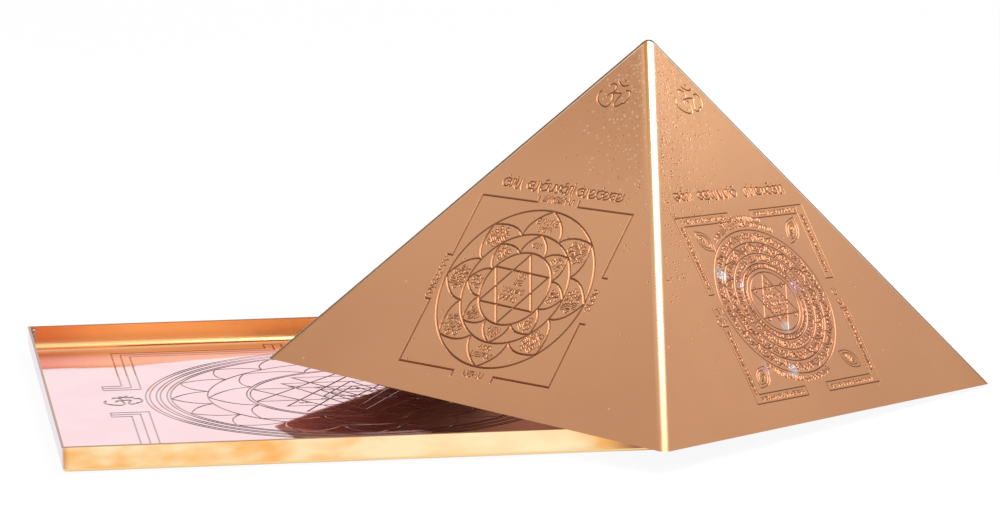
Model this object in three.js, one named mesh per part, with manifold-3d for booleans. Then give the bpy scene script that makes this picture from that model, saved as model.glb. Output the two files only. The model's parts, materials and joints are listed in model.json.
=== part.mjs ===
// Vastu pyramid: a folded copper pyramid cover lying askew on its shallow square tray.
// Millimetres, +Z up. The origin is the centre of the tray's underside. The tray's front
// wall faces -Y. The cover leans on the tray's front and back rims and on its right corner.

import * as THREE from 'three';
import { mergeVertices } from 'three/addons/utils/BufferGeometryUtils.js';
import Module from 'manifold-3d';

const wasm = await Module();
wasm.setup();

// Cover: one sheet, folded along three ridges and closed along the fourth
const cover_base = 101.6;
const cover_height = 66.2;
const cover_gauge = 0.5;
const ridge_radius = 2.0;
const ridge_steps = 12;
const tip_flat = 0.1;
const tip_scales = [0.8, 0.55, 0.28];

// Closing seam on the back ridge: a slit outside and a lap tab behind it
const seam_gap = 0.3;
const seam_edge = 0.6;
const seam_tab_width = 7.0;
const seam_foot_clearance = 1.5;
const seam_stop = 4.0;
const tab_stop = 10.0;
const tab_taper = 4.0;
const tab_bite = 0.1;
const seam_bead = 1.0;
const bead_steps = 4;

// Tray: a folded square pan with a butt joint at each corner
const tray_side = 113.0;
const tray_height = 5.0;
const tray_gauge = 0.5;
const tray_bend_radius = 1.5;
const bend_steps = 5;
const corner_slit = 0.3;
const relief_radius = 0.5;
const relief_sides = 12;
const corner_bead = 0.7;
const corner_bead_rise = 0.1;
const corner_bead_stop = 0.5;
const fillet_fullness = 0.3;

// Where the cover lies on the tray: its middle is past the tray's right wall by
// cover_overhang, and nearer the front than the back by cover_forward
const cover_overhang = 2.4;
const cover_forward = 4.2;
const cover_turn = THREE.MathUtils.degToRad(41.15);
const rest_gap = 0.3;
const settling_passes = 12;

// Room between pieces that solder joins, and how far a cutting solid overshoots
const solder_gap = 0.3;
const overshoot = 1.0;

const copper = new THREE.MeshStandardMaterial({ color: 0xc68a5f, roughness: 0.3, metalness: 1 });
const bright_copper = new THREE.MeshStandardMaterial({ color: 0xe0a07c, roughness: 0.1, metalness: 1 });
const solder = new THREE.MeshStandardMaterial({ color: 0xb9b4aa, roughness: 0.4, metalness: 1 });

// Solids from geometries, and back
function toSolid(geometry) {
  const bare = geometry.clone();
  bare.deleteAttribute('normal');
  bare.deleteAttribute('uv');
  const merged = mergeVertices(bare);
  return new wasm.Manifold(new wasm.Mesh({
    numProp: 3,
    vertProperties: merged.attributes.position.array,
    triVerts: new Uint32Array(merged.index.array),
  }));
}

function toNode(solid, name, material) {
  const mesh = solid.getMesh();
  const geometry = new THREE.BufferGeometry();
  geometry.setAttribute('position', new THREE.BufferAttribute(mesh.vertProperties, 3));
  geometry.setIndex(new THREE.BufferAttribute(mesh.triVerts, 1));
  geometry.computeVertexNormals();
  const node = new THREE.Mesh(geometry, material);
  node.name = name;
  return node;
}

function boxBetween(low, high) {
  const size = new THREE.Vector3().subVectors(high, low);
  const middle = new THREE.Vector3().addVectors(low, high).multiplyScalar(0.5);
  return new THREE.BoxGeometry(size.x, size.y, size.z).translate(middle.x, middle.y, middle.z);
}

// Horizontal cut through a folded ridge. The fold is a cylinder along the slanting ridge,
// so its cut is an ellipse: long on the diagonal, as wide as the fold across it.
function ridgeCut(slope, radius) {
  const rise = slope / Math.SQRT2;
  const sine = rise / Math.hypot(1, rise);
  const long = radius / sine;
  const sweep = Math.atan(sine);
  const inset = Math.hypot(long, radius) / Math.SQRT2;
  const narrowest = inset - (long * Math.cos(sweep) - radius * Math.sin(sweep)) / Math.SQRT2;
  return { long, radius, sweep, inset, narrowest };
}

// One horizontal ring of the pyramid, half as wide as its faces are apart
function ridgeRing(cut, half) {
  const points = [];
  for (let corner = 0; corner < 4; corner++) {
    const turn = corner * Math.PI / 2;
    for (let step = 0; step <= ridge_steps; step++) {
      const angle = cut.sweep * (2 * step / ridge_steps - 1);
      const along = cut.long * Math.cos(angle);
      const across = cut.radius * Math.sin(angle);
      const x = half - cut.inset + (along - across) / Math.SQRT2;
      const y = half - cut.inset + (along + across) / Math.SQRT2;
      points.push(new THREE.Vector2(x, y).rotateAround(new THREE.Vector2(), turn));
    }
  }
  return points;
}

// Slope of the faces that brings the rounded tip to cover_height
function faceSlope() {
  const half = cover_base / 2;
  let slope = cover_height / half;
  for (let pass = 0; pass < settling_passes; pass++) {
    const tip_half = ridgeCut(slope, ridge_radius).narrowest + tip_flat;
    slope = (cover_height + slope * tip_half / 2) / half;
  }
  return slope;
}

const slope = faceSlope();
const face_run = Math.hypot(1, slope);
const face_sine = slope / face_run;
const face_cosine = 1 / face_run;

// Solid pyramid with rounded ridges and a rounded tip, standing on the height foot
function pyramid(half_at_zero, radius, foot) {
  const cut = ridgeCut(slope, radius);
  const tip_half = cut.narrowest + tip_flat;
  const shoulder = slope * (half_at_zero - tip_half);
  const crown = slope * tip_half / 2;
  const rings = [
    { outline: ridgeRing(cut, half_at_zero - foot / slope), height: foot },
    { outline: ridgeRing(cut, tip_half), height: shoulder },
  ];
  for (const scale of tip_scales) {
    const outline = ridgeRing(cut, tip_half).map((point) => point.multiplyScalar(scale));
    rings.push({ outline, height: shoulder + crown * (1 - scale * scale) });
  }
  const count = rings[0].outline.length;
  const places = [];
  for (const ring of rings) {
    for (const point of ring.outline) places.push(point.x, point.y, ring.height);
  }
  places.push(0, 0, foot, 0, 0, shoulder + crown);
  const foot_centre = rings.length * count;
  const tip = foot_centre + 1;
  const last = (rings.length - 1) * count;
  const faces = [];
  for (let i = 0; i < count; i++) {
    const j = (i + 1) % count;
    faces.push(foot_centre, j, i);
    for (let level = 0; level < rings.length - 1; level++) {
      const low = level * count;
      const high = low + count;
      faces.push(low + i, low + j, high + j, low + i, high + j, high + i);
    }
    faces.push(last + i, last + j, tip);
  }
  const geometry = new THREE.BufferGeometry();
  geometry.setAttribute('position', new THREE.Float32BufferAttribute(places, 3));
  geometry.setIndex(faces);
  return toSolid(geometry);
}

// Frame of the seam: X runs up the back ridge from its foot, Y into the back face, square to
// the ridge, and Z through the sheet, inwards.
const ridge_foot = new THREE.Vector3(cover_base / 2, cover_base / 2, 0);
const ridge_top = new THREE.Vector3(0, 0, slope * cover_base / 2);
const ridge_length = ridge_foot.distanceTo(ridge_top);
const ridge_way = new THREE.Vector3().subVectors(ridge_top, ridge_foot).normalize();
const inward = new THREE.Vector3(0, -face_sine, -face_cosine);
const face_way = new THREE.Vector3().crossVectors(inward, ridge_way);
const foot_lean = (cover_base / 2) / Math.sqrt(ridge_length ** 2 - (cover_base / 2) ** 2);

function seamFrame(first, second, third) {
  return new THREE.Matrix4().makeBasis(first, second, third).setPosition(ridge_foot);
}

// Distances from the sharp ridge line, in the back face: where the fold ends, then the slit,
// then the tab's free edge. The sheet turns through fold_turn at each ridge.
const fold_turn = Math.acos(face_cosine ** 2);
const tab_from = ridge_radius * Math.tan(fold_turn / 2);
const slit_from = tab_from + seam_edge;
const slit_to = slit_from + seam_gap;
const tab_to = slit_to + seam_tab_width;
const tab_back = 2 * cover_gauge + seam_gap;

function seamSlit() {
  const low = new THREE.Vector3(-ridge_radius - overshoot, slit_from, -overshoot);
  const high = new THREE.Vector3(ridge_length - seam_stop, slit_to, cover_gauge + seam_gap / 2);
  return toSolid(boxBetween(low, high).applyMatrix4(seamFrame(ridge_way, face_way, inward)));
}

// A strip beside the seam, between two distances from the ridge, with slanting ends
function seamStrip(near, far, front, back, top) {
  const outline = new THREE.Shape([
    new THREE.Vector2(near * foot_lean + seam_foot_clearance, near),
    new THREE.Vector2(top, near),
    new THREE.Vector2(top - tab_taper, far),
    new THREE.Vector2(far * foot_lean + seam_foot_clearance, far),
  ]);
  const strip = new THREE.ExtrudeGeometry(outline, { depth: back - front, bevelEnabled: false });
  strip.translate(0, 0, front);
  return toSolid(strip.applyMatrix4(seamFrame(ridge_way, face_way, inward)));
}

function coverSheet() {
  const outside = pyramid(cover_base / 2, ridge_radius, 0);
  const inside = pyramid(cover_base / 2 - cover_gauge / face_sine, ridge_radius - cover_gauge, -overshoot);
  const top = ridge_length - tab_stop;
  const joggle = seamStrip(tab_from, slit_from, cover_gauge - tab_bite, tab_back, top);
  const tab = seamStrip(tab_from, tab_to, cover_gauge + seam_gap, tab_back, top);
  return outside.subtract(inside).subtract(seamSlit()).add(joggle).add(tab);
}

// Hollow-faced fillet section in the corner at the origin
function filletOutline(leg) {
  const outline = new THREE.Shape();
  outline.moveTo(0, 0);
  outline.lineTo(leg, 0);
  const middle = leg * fillet_fullness;
  outline.quadraticCurveTo(middle, middle, 0, leg);
  outline.closePath();
  return outline;
}

// Solder run along the tab's free edge, inside the cover
function coverSolder() {
  const near = tab_to + solder_gap;
  const start = (near + seam_bead) * foot_lean + seam_foot_clearance;
  const end = ridge_length - tab_stop - tab_taper;
  const bead = new THREE.ExtrudeGeometry(filletOutline(seam_bead), {
    depth: end - start,
    bevelEnabled: false,
    curveSegments: bead_steps,
  });
  bead.translate(near, cover_gauge + solder_gap, start);
  return toSolid(bead.applyMatrix4(seamFrame(face_way, inward, ridge_way)));
}

// Channel with rounded lower edges, as long as it is wide, running along X or along Y
function channel(half, radius, floor, top, along_x) {
  const outline = new THREE.Shape();
  outline.moveTo(half, top);
  outline.lineTo(-half, top);
  outline.lineTo(-half, floor + radius);
  outline.absarc(-half + radius, floor + radius, radius, Math.PI, 1.5 * Math.PI, false);
  outline.lineTo(half - radius, floor);
  outline.absarc(half - radius, floor + radius, radius, 1.5 * Math.PI, 2 * Math.PI, false);
  outline.closePath();
  const bar = new THREE.ExtrudeGeometry(outline, {
    depth: 2 * half,
    bevelEnabled: false,
    curveSegments: bend_steps,
  });
  bar.translate(0, 0, -half);
  bar.rotateX(Math.PI / 2);
  if (along_x) bar.rotateZ(Math.PI / 2);
  return toSolid(bar);
}

function panBlock(half, radius, floor, top) {
  return channel(half, radius, floor, top, true).intersect(channel(half, radius, floor, top, false));
}

// The slit between a side wall and the end of the front or back wall, with its relief hole
function cornerSlit(side_x, side_y) {
  const half = tray_side / 2;
  const wall_end = half - tray_gauge;
  const slit_end = half - tray_bend_radius;
  const low = new THREE.Vector3(wall_end - corner_slit, slit_end, -overshoot);
  const high = new THREE.Vector3(wall_end, half + overshoot, tray_height + overshoot);
  const relief_depth = tray_bend_radius + overshoot;
  const relief = new THREE.CylinderGeometry(relief_radius, relief_radius, relief_depth, relief_sides);
  relief.rotateX(Math.PI / 2);
  relief.translate(wall_end - corner_slit / 2, slit_end, relief_depth / 2 - overshoot);
  const cut = toSolid(boxBetween(low, high)).add(toSolid(relief));
  return cut.scale([side_x, side_y, 1]);
}

const tray_corners = [[1, 1], [-1, 1], [-1, -1], [1, -1]];

function trayPan() {
  const half = tray_side / 2;
  const outside = panBlock(half, tray_bend_radius, 0, tray_height);
  const inner_radius = tray_bend_radius - tray_gauge;
  const inside = panBlock(half - tray_gauge, inner_radius, tray_gauge, tray_height + overshoot);
  let pan = outside.subtract(inside);
  for (const [side_x, side_y] of tray_corners) pan = pan.subtract(cornerSlit(side_x, side_y));
  return pan;
}

// Upright solder fillet inside a corner of the tray
function traySolder(side_x, side_y) {
  const corner = tray_side / 2 - tray_gauge - solder_gap;
  const foot = tray_bend_radius + corner_bead_rise;
  const bead = new THREE.ExtrudeGeometry(filletOutline(corner_bead), {
    depth: tray_height - corner_bead_stop - foot,
    bevelEnabled: false,
    curveSegments: bead_steps,
  });
  bead.rotateZ(Math.PI);
  bead.translate(corner, corner, foot);
  return toSolid(bead).scale([side_x, side_y, 1]);
}

// Where an edge of the cover's foot passes over a line of the rim
function passOver(from, to, axis, line) {
  const share = (line - from.getComponent(axis)) / (to.getComponent(axis) - from.getComponent(axis));
  return { share, point: new THREE.Vector3().lerpVectors(from, to, share) };
}

// The cover's pose: two edges of its foot lie on the rim and its right corner on the ground
function restingPose() {
  const up = new THREE.Vector3(0, 0, 1);
  const half = cover_base / 2;
  const rim = tray_side / 2;
  const turn = new THREE.Quaternion().setFromAxisAngle(up, cover_turn);
  const plane = new THREE.Plane(up.clone(), -tray_height);
  const place = new THREE.Vector3(rim + cover_overhang, -cover_forward, tray_height);
  const rotation = new THREE.Quaternion();
  for (let pass = 0; pass < settling_passes; pass++) {
    rotation.setFromUnitVectors(up, plane.normal).multiply(turn);
    const foot = (x, y) => new THREE.Vector3(x, y, 0).applyQuaternion(rotation).add(place);
    const left = foot(-half, half);
    const right = foot(half, -half);
    const over_front = passOver(left, foot(-half, -half), 1, -rim).point;
    const over_back = passOver(left, foot(half, half), 1, rim);
    const over_right = passOver(left, foot(half, half), 0, rim);
    const back_first = over_back.share > 0 && over_back.share < over_right.share;
    const over_rear = back_first ? over_back.point : over_right.point;
    over_front.z = tray_height + rest_gap;
    over_rear.z = tray_height + rest_gap;
    right.z = rest_gap;
    plane.setFromCoplanarPoints(over_front, right, over_rear);
    place.z = -(plane.constant + plane.normal.x * place.x + plane.normal.y * place.y) / plane.normal.z;
  }
  return { place, rotation };
}

const cover = new THREE.Group();
const pose = restingPose();
cover.position.copy(pose.place);
cover.quaternion.copy(pose.rotation);
cover.add(toNode(coverSheet(), 'cover_sheet', copper));
cover.add(toNode(coverSolder(), 'cover_seam_solder', solder));

const tray = new THREE.Group();
tray.add(toNode(trayPan(), 'tray_pan', bright_copper));
tray_corners.forEach(([side_x, side_y], index) => {
  tray.add(toNode(traySolder(side_x, side_y), `tray_corner_solder_${index + 1}`, solder));
});

const vastu_pyramid = new THREE.Group();
vastu_pyramid.add(tray, cover);
export default vastu_pyramid;
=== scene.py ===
import json
import math
import random

import bmesh
import bpy
import numpy as np
from mathutils import Matrix, Vector
from mathutils.geometry import delaunay_2d_cdt

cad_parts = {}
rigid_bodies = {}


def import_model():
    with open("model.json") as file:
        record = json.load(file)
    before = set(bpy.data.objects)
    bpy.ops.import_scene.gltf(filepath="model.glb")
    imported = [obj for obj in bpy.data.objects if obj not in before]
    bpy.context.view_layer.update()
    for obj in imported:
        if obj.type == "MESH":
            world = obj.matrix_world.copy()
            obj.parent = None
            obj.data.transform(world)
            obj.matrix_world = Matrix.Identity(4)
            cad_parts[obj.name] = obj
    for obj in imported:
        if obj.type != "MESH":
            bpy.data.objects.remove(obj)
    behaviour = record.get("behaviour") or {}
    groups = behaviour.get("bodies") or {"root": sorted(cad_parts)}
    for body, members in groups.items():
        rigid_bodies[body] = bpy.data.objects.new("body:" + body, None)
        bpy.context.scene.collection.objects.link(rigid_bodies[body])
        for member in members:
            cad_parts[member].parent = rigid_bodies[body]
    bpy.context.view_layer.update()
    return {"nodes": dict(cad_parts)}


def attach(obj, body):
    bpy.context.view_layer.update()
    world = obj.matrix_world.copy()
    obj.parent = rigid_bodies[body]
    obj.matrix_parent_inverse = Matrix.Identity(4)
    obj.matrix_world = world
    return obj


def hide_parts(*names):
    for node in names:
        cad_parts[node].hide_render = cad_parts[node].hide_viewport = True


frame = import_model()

bl_info = {
    "name": "Vastu pyramid",
    "version": (1, 0, 0),
    "blender": (4, 5, 0),
    "location": "3D View > Sidebar > Pyramid",
    "description": "Engraves and finishes a folded copper pyramid and the copper tray under it",
    "category": "Add Mesh",
}

# Lengths here are in mm, which MM makes into metres, areas in mm2, and angles in radians. UP is
# the angle of straight up.
MM = 0.001
UP = math.pi / 2

# Sheets of the CAD model: the smallest area of an outer face and of any flat part, the largest
# angle that is smoothed over, how close two places, two planes and two directions are that count
# as one, and the cells that sort the grooves by place
outer_face_area = 1000.0
flat_area = 150.0
smooth_angle = math.radians(25.0)
merge_distance = 0.002
plane_tolerance = 0.02
same_way = 0.99998
search_cell = 1.0
# The height part of the normals of the cover's outer faces and of the tray's floor, at least
slope_least = 0.3
floor_flatness = 0.9

# Tray: how far in the front and back walls end, how far they are brought out to the side walls,
# how far in the bends reach, and where the cut edge begins
tray_wall_end = 0.8
tray_joint = 0.28
tray_bend_reach = 1.6
tray_rim_height = (4.85, 4.92)

# Spacing and height of the marks in the places where they lie
lotus_mark = (1.1, 1.2)
gate_mark = (1.25, 1.5)
title_mark = (1.62, 1.85)
title_trim = 0.6
leaf_mark = (0.9, 0.8)
leaf_row = 0.5
arc_mark = (1.1, 1.1)
wheel_star_mark = (1.05, 1.05)
wheel_band_mark = (0.85, 0.75)
wheel_side_mark = (1.3, 1.7)
tray_mark = (1.2, 1.3)

# Pattern of the lotus faces, from the middle of the face's foot. Its circles bound the outer
# petals, the inner petals and the star.
lotus_middle = (-0.9, 25.7)
lotus_circles = (17.5, 12.1, 8.0)
lotus_star = 7.7
lotus_star_middle = (-1.2, 25.6)
lotus_frame = ((-19.6, 43.7), (17.4, 45.9), (18.1, 7.4), (-19.2, 6.0))
lotus_gate = 0.265
lotus_tick = 1.3
lotus_petals = 8
# Rows of marks in a petal, by their distance from the middle and their width: first those of the
# petals that are named, then those of the rest
lotus_outer_rows = {0: ((15.0, 5.4), (13.3, 3.2)), 4: ((15.0, 5.4), (13.3, 3.2))}
lotus_outer_other = ((15.6, 3.2), (14.3, 5.4), (13.1, 4.4))
lotus_inner_rows = {0: ((9.7, 2.2),)}
lotus_inner_other = ((10.4, 2.2), (9.2, 3.0))
# Rows in the star, by place and width, and in the frame's gates, by width and shift outwards
lotus_star_rows = ((0.7, 3.1, 2.0), (0.5, 1.5, 2.2), (0.1, -0.4, 5.0), (-0.3, -2.1, 4.2))
lotus_gate_rows = ((7.2, 0.9), (5.0, 0.2), (4.4, 0.2), (9.0, 0.9))
lotus_title = ((-16.5, 47.4), (13.6, 48.9))
lotus_title_words = ((0.0, 0.18), (0.21, 0.585), (0.61, 1.0))
lotus_om = (-0.9, 70.4)

# Pattern of the wheel faces. The lines of its circles and frame are wheel_line times as wide
# and deep as those of the lotus.
wheel_middle = (-0.7, 25.3)
wheel_circles = (15.5, 12.8, 8.25, 7.15, 6.35)
wheel_line = 0.66
wheel_scallops = 24
wheel_scallop_gap = 0.5
wheel_petal_foot = 10.4
wheel_petals = 16
wheel_star = 6.1
# Rings of marks: radius, spacing, height. Arcs of marks: radius, first and last angle.
wheel_rings = ((14.1, 1.0, 1.25), (11.6, 1.1, 1.3), (9.35, 0.95, 1.25), (7.7, 0.75, 0.6))
wheel_arcs = ((16.8, 120, 60), (18.1, 106, 70), (16.6, 291, 230))
wheel_ring_spacing = 0.6
wheel_arc_steps = 20
# Rows of marks in the star and beside the wheel: place and width
wheel_star_rows = (
    (0, 4.3, 1.2), (0, 3.0, 3.2), (0, 1.2, 6.0), (0, -0.4, 7.0), (0, -1.8, 5.6),
    (0, -3.3, 3.0), (-4.0, 3.0, 1.4), (4.0, 3.0, 1.4), (-4.0, -3.2, 1.4), (4.0, -3.2, 1.4),
)
wheel_side_rows = (
    (17.6, 25.2, 1.2), (17.9, 22.8, 1.2), (18.1, 20.6, 1.2), (-18.0, 25.2, 2.0), (-18.4, 23.0, 3.0),
)
wheel_frame_outer = ((-17.9, 45.4), (20.2, 44.1), (18.4, 5.2), (-19.2, 5.5))
wheel_frame_inner = ((-16.2, 43.4), (17.8, 42.4), (16.6, 7.1), (-17.6, 7.4))
wheel_gate = 0.17
wheel_band_trim = 2.2
wheel_leaf_width = 3.4
wheel_leaf_inner = 0.68
wheel_leaves = (
    ((-14.2, 42.1), (-10.8, 37.5)),
    ((16.1, 41.7), (11.9, 36.4)),
    ((10.6, 12.8), (15.2, 9.1)),
    ((-12.3, 12.8), (-16.2, 8.6)),
)
wheel_title = ((-15.4, 49.7), (17.3, 47.9))
wheel_title_words = ((0.0, 0.17), (0.2, 0.58), (0.63, 1.0))
wheel_om = (2.0, 69.6)
wheel_om_turn = math.radians(-7.0)
# Stains on the wheel: place on the face, reach, and 1 where it is lilac, not grey
wheel_stains = (
    (-12.2, 32.6, 2.0, 0), (-1.0, 19.8, 1.7, 0), (-4.9, 10.9, 1.8, 0),
    (-12.4, 12.4, 1.6, 1), (7.0, 27.4, 2.2, 1), (-8.0, 30.0, 1.5, 1),
)

# Pattern of the tray, from the middle of its floor. Sizes of lines: width, depth.
tray_middle = (5.2, 2.8)
tray_circles = (41.5, 40.7, 39.4, 38.6, 37.3, 36.6, 29.3, 21.6, 20.9)
tray_frame_middle = (5.4, 2.2)
tray_frame = 45.6
tray_band = 3.6
tray_line = (0.46, 0.07)
tray_om_line = (0.74, 0.09)
tray_om_stretch = 1.3
tray_mark_line = (0.34, 0.05)
tray_gate = 10.4
tray_gate_step = 3.9
tray_oms = ((-40.9, 2.8), (5.4, 48.3), (51.0, 2.2), (5.4, -44.0))
tray_petals = (16, 8)
tray_petal_gaps = (0.1, 0.2)
# Rows of marks among the triangles: place, all as wide as tray_row
tray_row = 2.6
tray_rows = ((0, 3.4), (0, -3.0), (-6.5, 5.6), (6.5, 5.6), (-6.3, -5.0), (6.3, -5.0),
             (-11.5, 7.4), (11.5, 7.4), (-11.0, -7.6), (11.0, -7.6))
# The nine triangles, in parts of their circle's height: base, base's trim, point
tray_parts = 48
tray_triangles = (
    (6, 3, 27), (12, 5, 42), (17, 0, 48), (20, 16, 36), (23, 18, 30),
    (27, 16, 12), (30, 0, 0), (36, 4, 6), (42, 3, 17),
)

# A face's triangle: half its foot, its height along the slope, and the strip along each edge
# where it bends
face_half_foot = 50.8
face_rise = 84.3
face_bend = 1.2

# Pits beside the front ridge: count, lowest and highest place up the face, reach from the ridge.
# They crowd to the ridge by the power pit_crowding. The stray ones lie anywhere on the face.
wheel_pits = ((230, 44.0, 63.0, 17.0), (70, 28.0, 46.0, 9.0), (60, 63.0, 79.0, 9.0))
lotus_pits = ((14, 30.0, 64.0, 14.0),)
pit_crowding = 1.7
pit_width = (0.26, 0.48)
pit_length = 0.04
pit_steepness = 0.35
stray_pits = 26
stray_reach = (2.0, 70.0)
stray_margin = 2.0

# Rows of marks: the smallest and largest mark, the length of a row with one mark in it, as a
# share of the pitch, and the part by which a row is longer, so that its last mark isn't lost
mark_sizes = (0.85, 1.1)
shortest_row = 0.02
row_slack = 1.001

# Solder: how many times its runs are divided, the scale of their lumps per metre, the value of
# the noise that stays in place, and the step in the noise from one run to the next
bead_divisions = 3
bead_grain = 900.0
bead_level = 0.55
bead_step = 0.1

# Where a petal's side turns in, as a share of its length, and how full it is there
petal_shoulder = 0.63
petal_spread = 0.81

# How far the tray's floor leans towards the viewer under the cover, as a slope, and where it
# begins to lean and leans in full
floor_rise = 0.08
floor_lean = (-40.0, 20.0)

# Reaches of the cover's colours, each from where it starts to where it is full: its paling and
# the colours by the point, and the grains, by their distance from the point and from the ridge,
# and the painted shade of the inside, across the piece. Then the reach of the colour round a wheel.
cover_paling = (105.0, 35.0)
cover_point = (45.0, 14.0)
grain_fall = (48.0, 10.0)
grain_spread = (20.0, 2.0)
inside_painted_shade = (2.0, 45.0)
wheel_blush = 24.0

# Reaches of the tray's colours, in the same way. Across it: the palest part of the front wall,
# where it starts and where it ends, and the brown of its right end. Along it: the shade and the
# haze by the back wall. Up it: the bend's painted highlight, the brown lower edge and the underside.
palest_start, palest_end = (-5.0, 25.0), (46.0, 38.0)
right_brown = (45.0, 53.0)
shade_reach = (38.0, 51.0)
haze_start, haze_end = (34.0, 39.0), (50.0, 43.0)
bend_highlight_height = (2.2, 0.7)
brown_height = (0.9, 0.3)
underside_height = (0.45, 0.2)
# In from the left side: its brown edge, its outer face and the dark end of the walls' inside.
# In from any side: the walls and their outer faces.
left_brown = (1.6, 0.4)
left_face = (0.4, 0.1)
left_dark = (22.0, 2.0)
wall_reach = (tray_bend_reach, 1.0)
outer_reach = (0.3, 0.15)

# Painted shade on the front bend, by how far its normal has turned to the lotus face
bend_shade_start, bend_shade_reach = 0.88, 0.09

# The room's dark parts, by the direction that they lie in, each from where it starts to where it
# is full: far back, and there high up, low down, or at a little to each side
room_back = (0.5, 0.62)
room_high = (0.42, 0.55)
room_low = (0.32, 0.22)
room_aside_start, room_aside_end = (0.2, 0.3), (0.55, 0.45)

# The full-strength core of a speck and of a stain, as a share of it, how sharply the cells that
# hold a speck are picked, and how far the wall's streaks are drawn out
speck_core = 0.35
spot_core = 0.4
speck_contrast = 40.0
wall_streaks = (0.07, 0.07, 0.16)

# Stage: the floor and the share of its glow, a soft lamp up to the right, which the front ridge
# reflects, and the camera. The lamp's numbers are in metres.
white = (1.0, 1.0, 1.0, 1.0)
floor_level = -0.2
floor_glow = 0.93
lamp_size = (0.3, 0.36)
lamp_place = (0.18, -0.08, 0.34)
camera_place = (-117.09961, -1135.63173, 249.71714)
camera_yaw, camera_pitch, camera_roll = 0.13199, 0.19167, -0.00741
camera_sensor = 36.0
camera_lens = 213.505728

# Lines: the widest spacing of a circle's points, what it is for a radius of 1, and the fewest
# points, a turn so sharp that a line runs back on itself, and the sharpest corner that is mitred
circle_spacing, circle_fineness, circle_points_least = 1.2, 0.35, 10
turning_back = 0.2
sharpest_mitre = 0.5

# Om sign, from its middle, drawn as smooth lines
om_strokes = (
    ((-1.95, 1.4), (-1.75, 1.9), (-1.15, 2.0), (-0.45, 1.6), (-0.25, 0.8), (-0.5, 0.0),
     (-0.05, -0.8), (0.1, -2.1), (-0.3, -3.1), (-1.55, -3.1), (-2.95, -2.4), (-3.55, -1.5),
     (-3.65, -0.5), (-3.35, 0.1)),
    ((-1.45, -1.0), (-1.25, -0.3), (-0.5, 0.0), (0.85, 0.2), (1.55, 0.0), (1.25, -1.0),
     (1.05, -2.2), (1.45, -2.7), (2.15, -2.5), (2.75, -1.9), (3.35, -1.6), (3.7, -0.5),
     (3.55, 0.6), (2.95, 1.1), (2.25, 1.0)),
    ((-0.45, 2.7), (0.4, 2.1), (1.4, 1.9), (2.2, 2.3)),
    ((0.75, 3.1), (1.05, 3.05)),
)

# Small ornament shapes, which say nothing, in parts of their height
shape_parts = 20
mark_shapes = {
    "mark_hook": (((-6, -10), (-7, 4), (-2, 10), (4, 6), (2, -2)), ((7, -10), (7, 4))),
    "mark_arch": (((-8, -8), (-7, 6), (0, 10), (6, 4), (4, -8), (9, -10)),),
    "mark_curl": (((8, 7), (0, 10), (-8, 3), (-5, -7), (3, -10), (8, -2), (2, 2), (-1, -2)),),
    "mark_ring": (((-1, 9), (-8, 2), (-4, -8), (4, -8), (7, 2), (-1, 9)), ((9, 10), (8, -10))),
    "mark_bars": (((-7, 10), (-7, -8), (0, -10), (1, 6), (8, 7), (8, -10)),),
    "mark_wave": (((-9, -4), (-5, 7), (0, -6), (4, 7), (9, -2)), ((-4, -10), (6, -11))),
    "mark_leaf": (((-8, -8), (-7, 3), (2, 10), (8, 4), (4, -6), (-8, -8)), ((-6, -6), (4, 4))),
    "mark_fork": (((0, -10), (0, 0), (-8, 6), (-4, 10)), ((0, 0), (8, 2), (7, 10))),
    "mark_step": (((-8, 8), (3, 9), (2, 0), (-7, -2), (-6, -10), (8, -9)),),
    "mark_bowl": (((-8, 8), (-7, -6), (0, -10), (7, -6), (8, 6)), ((0, 10), (0, 0))),
}

# Large ornament shapes of the rows over the frames, drawn as smooth lines
title_shapes = {
    "title_scroll": (((-10, 3), (-6, 9), (0, 5), (-2, -2), (-9, -5), (-7, -10), (3, -9), (9, -3)),
                     ((7, 10), (6, 0))),
    "title_gate": (((-10, -9), (-10, 8), (-4, 9), (-3, -6), (2, -10), (7, -5), (7, 9)),),
    "title_loop": (((9, 9), (-7, 9), (-10, 0), (-3, -9), (4, -5), (1, 1), (-4, -2)),
                   ((9, 8), (9, -10))),
    "title_comb": (((-10, 8), (-10, -8), (-4, -9), (-4, 8), (3, 8), (3, -9)), ((9, 9), (9, -9)),
                   ((6, 16), (7.2, 16))),
    "title_snail": (((10, -9), (-6, -9), (-10, 0), (-4, 9), (5, 8), (7, 0), (1, -3), (-3, 2)),),
    "title_fish": (((-10, -6), (-3, 7), (6, 7), (10, 0), (4, -8), (-4, -7), (-10, 6)),
                   ((-2, 14), (5, 17))),
    "title_posts": (((-10, 9), (-9, -9), (-2, -10), (-1, 9)), ((4, 9), (6, -6), (10, -14))),
    "title_crown": (((-10, -9), (-9, 6), (-4, 8), (0, -2), (4, 8), (9, 6), (10, -9)),
                    ((-2, -10), (3, -9))),
    "title_shell": (((9, 6), (0, 10), (-9, 4), (-8, -6), (0, -10), (8, -6), (6, 1), (0, 1)),
                    ((1, 16), (2.4, 16))),
}


def math_node(operation, swapped=False):
    """Makes a method that works out two values in a Math node, swapped for a reflected form."""
    def method(wire, other):
        values = [other, wire] if swapped else [wire, other]
        return wire.sheet.node("ShaderNodeMath", {"operation": operation}, values)
    return method


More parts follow.
